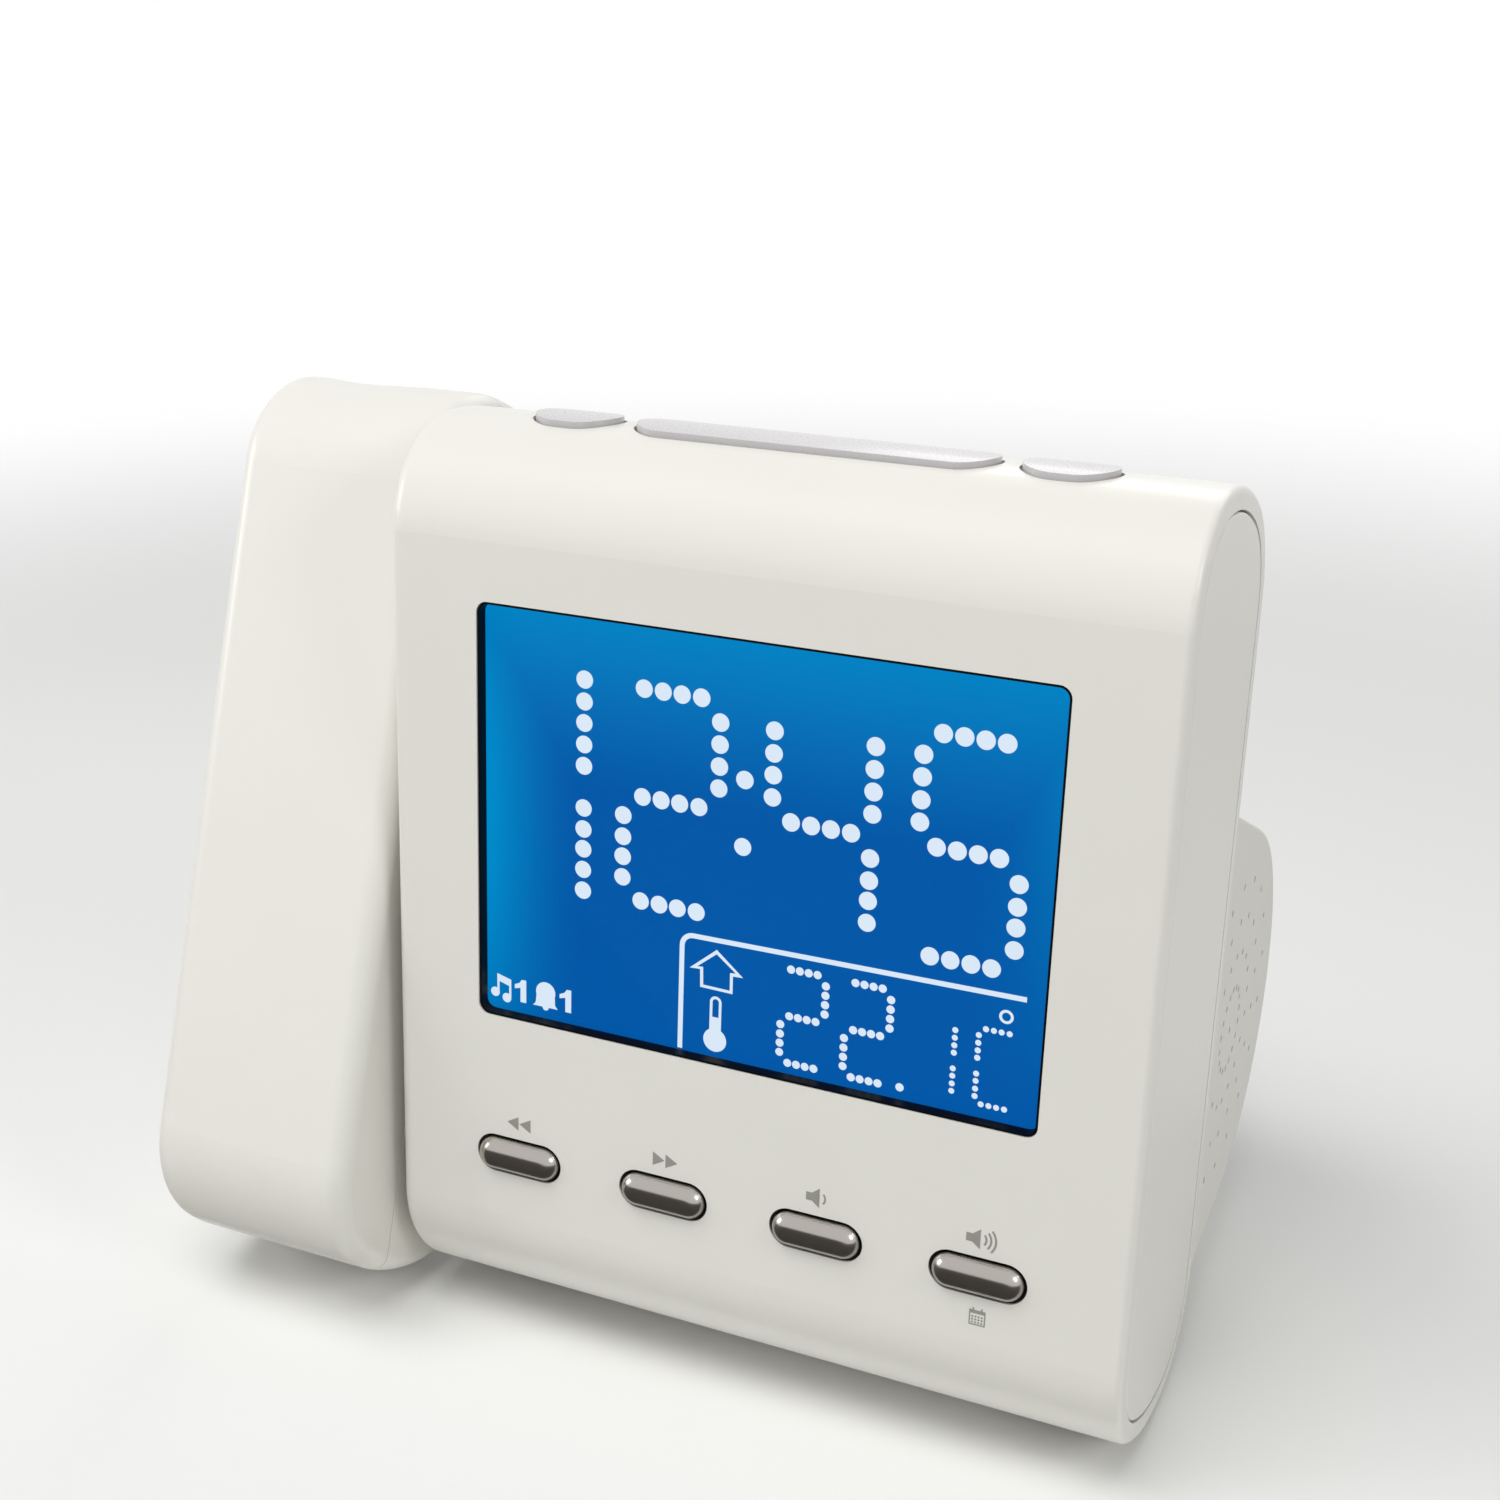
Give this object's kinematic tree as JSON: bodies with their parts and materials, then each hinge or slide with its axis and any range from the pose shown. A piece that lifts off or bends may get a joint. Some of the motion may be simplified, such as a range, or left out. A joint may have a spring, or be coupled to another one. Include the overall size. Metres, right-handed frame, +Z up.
{
  "type": "projection alarm clock",
  "caption": "Leaning desk clock with a lit display, press buttons, a rear speaker housing and a swivelling side arm that projects the time.",
  "frame": {"origin": "middle of the overall footprint, on the table", "axes": "+Z up, -Y towards the reader of the display, +X to the right of the display along the pivot of the arm"},
  "size_m": [0.1742, 0.1178, 0.1627],
  "materials": {
    "case": "satin ivory moulding",
    "chrome": "polished plated plastic",
    "grey_plastic": "satin",
    "dark_plastic": "fine texture",
    "clear": "polished",
    "display": "lit blue behind glass",
    "white_plastic": "satin",
    "board": "varnished laminate",
    "steel": "bright",
    "magnet": "plain",
    "cone": "paper",
    "rubber": "matt",
    "lamp": "clear red"
  },
  "bodies": {
    "case": {"front_housing": "case", "right_end_cap": "case", "left_end_cap": "case", "rear_cover": "case", "speaker_pod": "case", "display_bezel": "dark_plastic", "battery_holder": "dark_plastic", "dc_inlet": "dark_plastic", "front_switches": "dark_plastic", "top_switches": "dark_plastic", "rear_switches": "dark_plastic", "board_parts": "dark_plastic", "display_window": "clear", "lcd_panel": "display", "lcd_tray": "white_plastic", "light_guide": "white_plastic", "main_board": "board", "front_key_board": "board", "top_key_board": "board", "rear_key_board": "board", "cover_screws": "steel", "backup_cell": "steel", "speaker_frame": "steel", "friction_washer": "steel", "speaker_magnet": "magnet", "speaker_cone": "cone", "front_feet": "rubber", "rear_feet": "rubber", "aerial_gland": "rubber"},
    "arm": {"arm_front_shell": "case", "arm_rear_shell": "case", "arm_screws": "steel", "pivot_hub": "dark_plastic", "pivot_clip": "steel", "lens_bracket": "dark_plastic", "light_tunnel": "dark_plastic", "time_slide": "display", "led_board": "board", "lamp": "lamp", "condenser": "clear"},
    "focus_wheel": {"focus_wheel": "grey_plastic"},
    "focus_barrel": {"focus_barrel": "dark_plastic", "lens_outer": "clear", "lens_inner": "clear"},
    "battery_door": {"battery_door": "grey_plastic"},
    "front_button_1": {"front_button_1": "chrome"},
    "rear_button_1": {"rear_button_1": "grey_plastic"},
    "front_button_2": {"front_button_2": "chrome"},
    "rear_button_2": {"rear_button_2": "grey_plastic"},
    "front_button_3": {"front_button_3": "chrome"},
    "rear_button_3": {"rear_button_3": "grey_plastic"},
    "front_button_4": {"front_button_4": "chrome"},
    "rear_button_4": {"rear_button_4": "grey_plastic"},
    "top_button_left": {"top_button_left": "case"},
    "top_button_bar": {"top_button_bar": "case"},
    "top_button_right": {"top_button_right": "case"}
  },
  "joints": [
    {"name": "arm_swivel", "type": "hinge", "parent": "case", "child": "arm", "pos_m": [-0.04606, -0.0148, 0.08166], "axis": [1, 0, 0], "range_deg": [-74.3, 105.7]},
    {"name": "focus_turn", "type": "hinge", "parent": "arm", "child": "focus_wheel", "pos_m": [-0.06926, 0.00157, 0.13797], "axis": [0, 0.344, 0.939], "range_deg": [-90, 90]},
    {"name": "focus_slide", "type": "slide", "parent": "arm", "child": "focus_barrel", "axis": [0, 0.344, 0.939], "range_m": [-0.0015, 0.0015]},
    {"name": "battery_door_twist", "type": "hinge", "parent": "case", "child": "battery_door", "pos_m": [-0.02066, 0.00936, 0.06976], "axis": [0, 0.997, -0.0771], "range_deg": [0, 40]},
    {"name": "front_button_1_press", "type": "slide", "parent": "case", "child": "front_button_1", "axis": [0, 0.997, -0.0771], "range_m": [0, 0.0012], "stiffness_N_per_m": 500, "springref_m": -0.0005},
    {"name": "front_button_2_press", "type": "slide", "parent": "case", "child": "front_button_2", "axis": [0, 0.997, -0.0771], "range_m": [0, 0.0012], "stiffness_N_per_m": 500, "springref_m": -0.0005},
    {"name": "front_button_3_press", "type": "slide", "parent": "case", "child": "front_button_3", "axis": [0, 0.997, -0.0771], "range_m": [0, 0.0012], "stiffness_N_per_m": 500, "springref_m": -0.0005},
    {"name": "front_button_4_press", "type": "slide", "parent": "case", "child": "front_button_4", "axis": [0, 0.997, -0.0771], "range_m": [0, 0.0012], "stiffness_N_per_m": 500, "springref_m": -0.0005},
    {"name": "top_button_left_press", "type": "slide", "parent": "case", "child": "top_button_left", "axis": [0, -0.0771, -0.997], "range_m": [0, 0.0012], "stiffness_N_per_m": 500, "springref_m": -0.0005},
    {"name": "top_button_bar_press", "type": "slide", "parent": "case", "child": "top_button_bar", "axis": [0, -0.0771, -0.997], "range_m": [0, 0.0012], "stiffness_N_per_m": 500, "springref_m": -0.0005},
    {"name": "top_button_right_press", "type": "slide", "parent": "case", "child": "top_button_right", "axis": [0, -0.0771, -0.997], "range_m": [0, 0.0012], "stiffness_N_per_m": 500, "springref_m": -0.0005},
    {"name": "rear_button_1_press", "type": "slide", "parent": "case", "child": "rear_button_1", "axis": [0, -0.997, 0.0771], "range_m": [0, 0.001], "stiffness_N_per_m": 500, "springref_m": -0.0005},
    {"name": "rear_button_2_press", "type": "slide", "parent": "case", "child": "rear_button_2", "axis": [0, -0.997, 0.0771], "range_m": [0, 0.001], "stiffness_N_per_m": 500, "springref_m": -0.0005},
    {"name": "rear_button_3_press", "type": "slide", "parent": "case", "child": "rear_button_3", "axis": [0, -0.997, 0.0771], "range_m": [0, 0.001], "stiffness_N_per_m": 500, "springref_m": -0.0005},
    {"name": "rear_button_4_press", "type": "slide", "parent": "case", "child": "rear_button_4", "axis": [0, -0.997, 0.0771], "range_m": [0, 0.001], "stiffness_N_per_m": 500, "springref_m": -0.0005}
  ],
  "couplings": [
    {"joint": "focus_slide", "follows": "focus_turn", "m_per_rad": 0.00095483}
  ]
}
